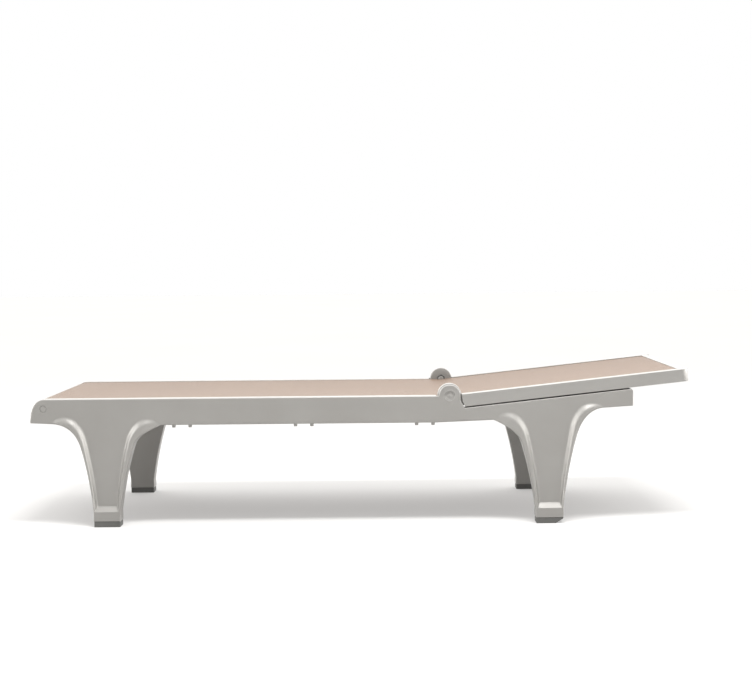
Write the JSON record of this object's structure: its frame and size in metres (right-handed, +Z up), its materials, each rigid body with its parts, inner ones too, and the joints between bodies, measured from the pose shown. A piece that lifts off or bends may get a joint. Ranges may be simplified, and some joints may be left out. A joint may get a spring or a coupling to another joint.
{
  "type": "reclining sun lounger",
  "caption": "Stackable moulded sun lounger with a woven sling seat and a hinged backrest that reclines on a folding stay and toothed racks.",
  "frame": {"origin": "on the floor under the middle of the lounger's length and width, backrest resting down", "axes": "+X towards the head end, +Y towards the right side of a person lying face up, +Z up"},
  "size_m": [1.93, 0.724, 0.4485],
  "materials": {
    "frame_resin": "satin pearl grey moulded resin",
    "dark_resin": "dark grey glass filled nylon",
    "foot_rubber": "dark grey non-slip rubber",
    "sling_weave": "beige vinyl coated open weave",
    "steel": "brushed stainless steel",
    "nylon": "natural white nylon"
  },
  "bodies": {
    "base": {"side_frame_left": "frame_resin", "side_frame_right": "frame_resin", "foot_crossbar": "frame_resin", "seat_crossbar_1": "frame_resin", "seat_crossbar_2": "frame_resin", "seat_crossbar_3": "frame_resin", "rear_crossbar": "frame_resin", "foot_cap_front_left": "foot_rubber", "foot_cap_rear_left": "foot_rubber", "foot_screw_left": "frame_resin", "hinge_pin_left": "frame_resin", "hinge_nut_left": "dark_resin", "rack_left": "dark_resin", "rack_screw_front_left": "steel", "rack_screw_rear_left": "steel", "seat_spline_left": "nylon", "foot_cap_front_right": "foot_rubber", "foot_cap_rear_right": "foot_rubber", "foot_screw_right": "frame_resin", "hinge_pin_right": "frame_resin", "hinge_nut_right": "dark_resin", "rack_right": "dark_resin", "rack_screw_front_right": "steel", "rack_screw_rear_right": "steel", "seat_spline_right": "nylon", "foot_spline": "nylon", "sling_seat": "sling_weave"},
    "backrest": {"back_rail_left": "frame_resin", "hinge_bush_left": "nylon", "back_spline_left": "nylon", "back_rail_right": "frame_resin", "hinge_bush_right": "nylon", "back_spline_right": "nylon", "back_crossbar_lower": "frame_resin", "back_crossbar_upper": "frame_resin", "head_crossbar": "frame_resin", "head_spline": "nylon", "sling_back": "sling_weave"},
    "stay": {"stay_arm_left": "dark_resin", "stay_pin_left": "steel", "stay_rod_cap_left": "dark_resin", "stay_arm_right": "dark_resin", "stay_pin_right": "steel", "stay_rod_cap_right": "dark_resin", "stay_rod": "steel"}
  },
  "joints": [
    {"name": "backrest_recline", "type": "hinge", "parent": "base", "child": "backrest", "pos_m": [0.265, 0, 0.376], "axis": [0, -1, 0], "range_deg": [0, 62.4]},
    {"name": "stay_swing", "type": "hinge", "parent": "backrest", "child": "stay", "pos_m": [0.51054, 0, 0.38371], "axis": [0, -1, 0], "range_deg": [-124.8, 0]}
  ],
  "couplings": [
    {"joint": "stay_swing", "follows": "backrest_recline", "ratio": -2}
  ]
}
